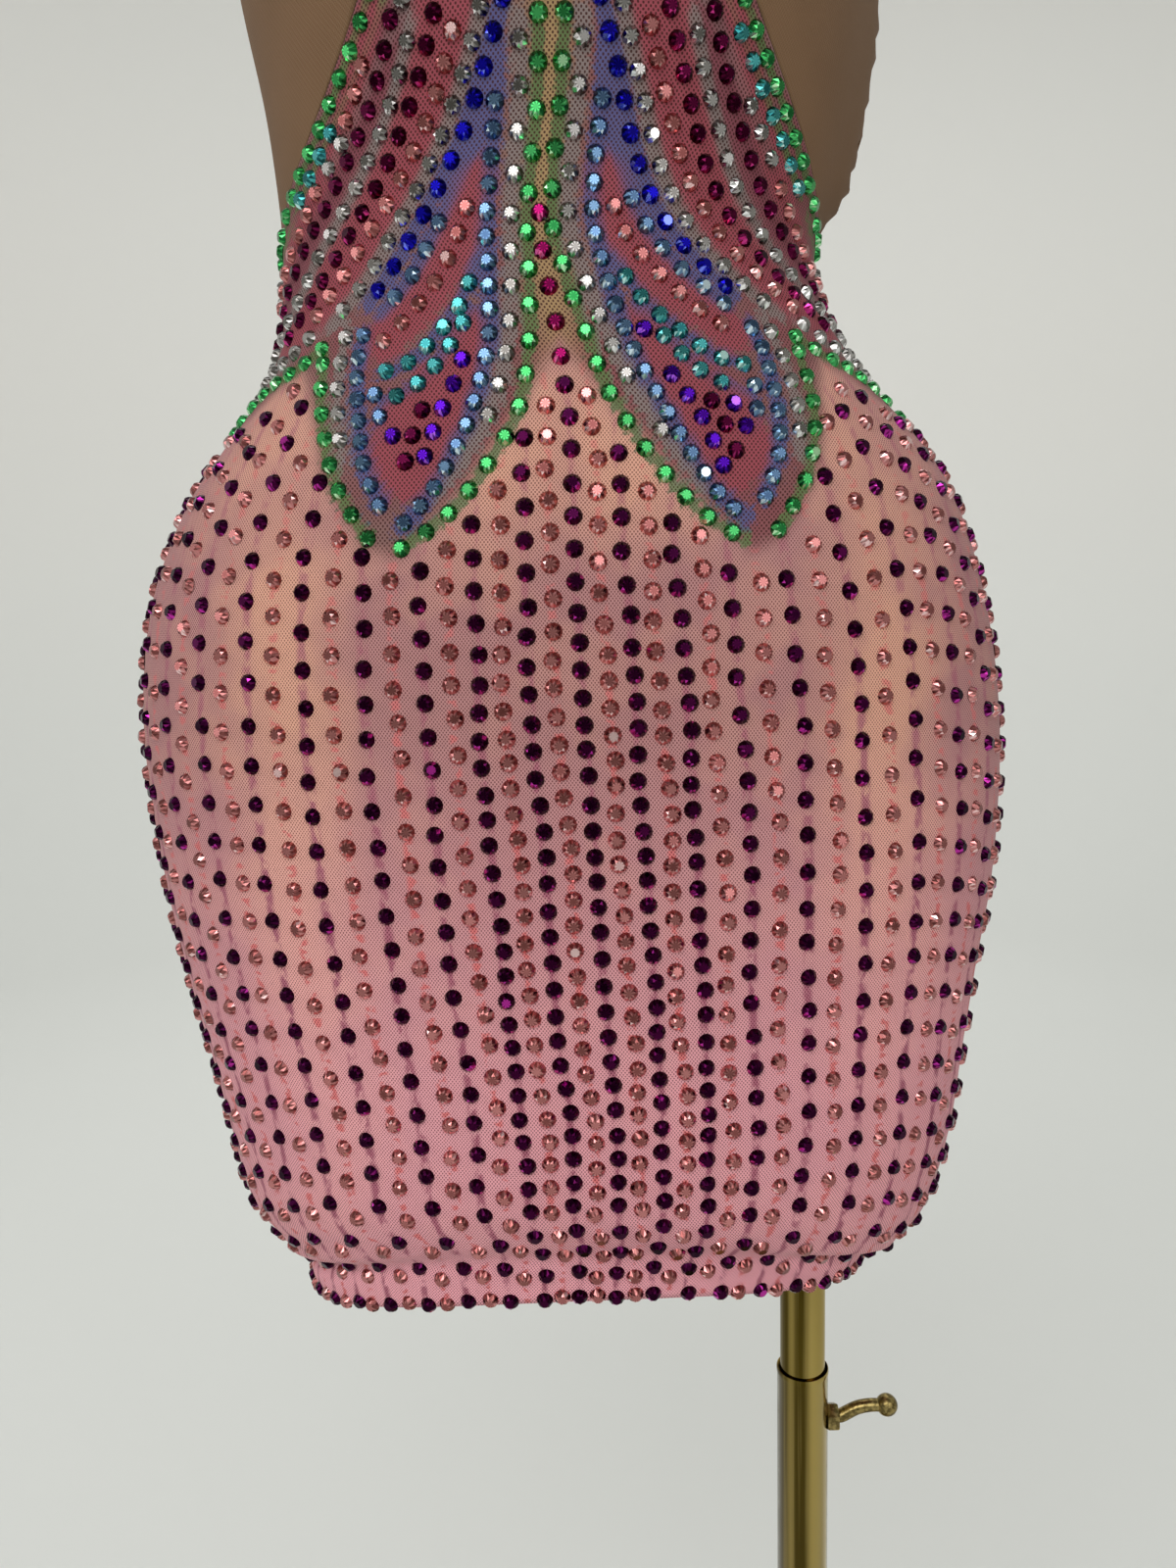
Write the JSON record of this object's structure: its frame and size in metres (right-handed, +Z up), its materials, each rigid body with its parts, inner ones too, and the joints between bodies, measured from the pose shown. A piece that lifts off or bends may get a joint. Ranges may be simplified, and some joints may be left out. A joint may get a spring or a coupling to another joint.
{
  "type": "mini dress on dress form",
  "caption": "Sleeveless bodycon mini dress of stretch mesh on a limbless dress form, held up by a brass telescopic stand with a round base.",
  "frame": {"origin": "on the floor, on the axis of the stand's pole", "axes": "+Z up; the front of the dress faces -Y; the wearer's left is +X"},
  "size_m": [0.4732, 0.35, 1.409],
  "materials": {
    "printed_mesh": "fine stretch mesh with a tonal print",
    "nude_mesh": "fine stretch mesh, matt",
    "form_cover": "smooth jersey cover",
    "brass": "polished"
  },
  "bodies": {
    "stand": {"base_plate": "brass", "base_hub": "brass", "sleeve": "brass", "clamp_nut": "brass"},
    "mast": {"mast": "brass"},
    "form": {"dress_form": "form_cover", "form_socket": "brass", "front_panel": "printed_mesh", "back_skirt": "printed_mesh", "side_mesh_left": "nude_mesh", "side_mesh_right": "nude_mesh", "back_bodice": "nude_mesh"},
    "clamp": {"clamp_screw": "brass"}
  },
  "joints": [
    {"name": "height_slide", "type": "slide", "parent": "stand", "child": "mast", "axis": [0, 0, 1], "range_m": [-0.07, 0.22]},
    {"name": "form_swivel", "type": "hinge", "parent": "mast", "child": "form", "pos_m": [0, 0, 0.6], "axis": [0, 0, 1], "continuous": true},
    {"name": "clamp_turn", "type": "hinge", "parent": "stand", "child": "clamp", "pos_m": [0.02, 0, 0.43], "axis": [1, 0, 0], "continuous": true}
  ]
}
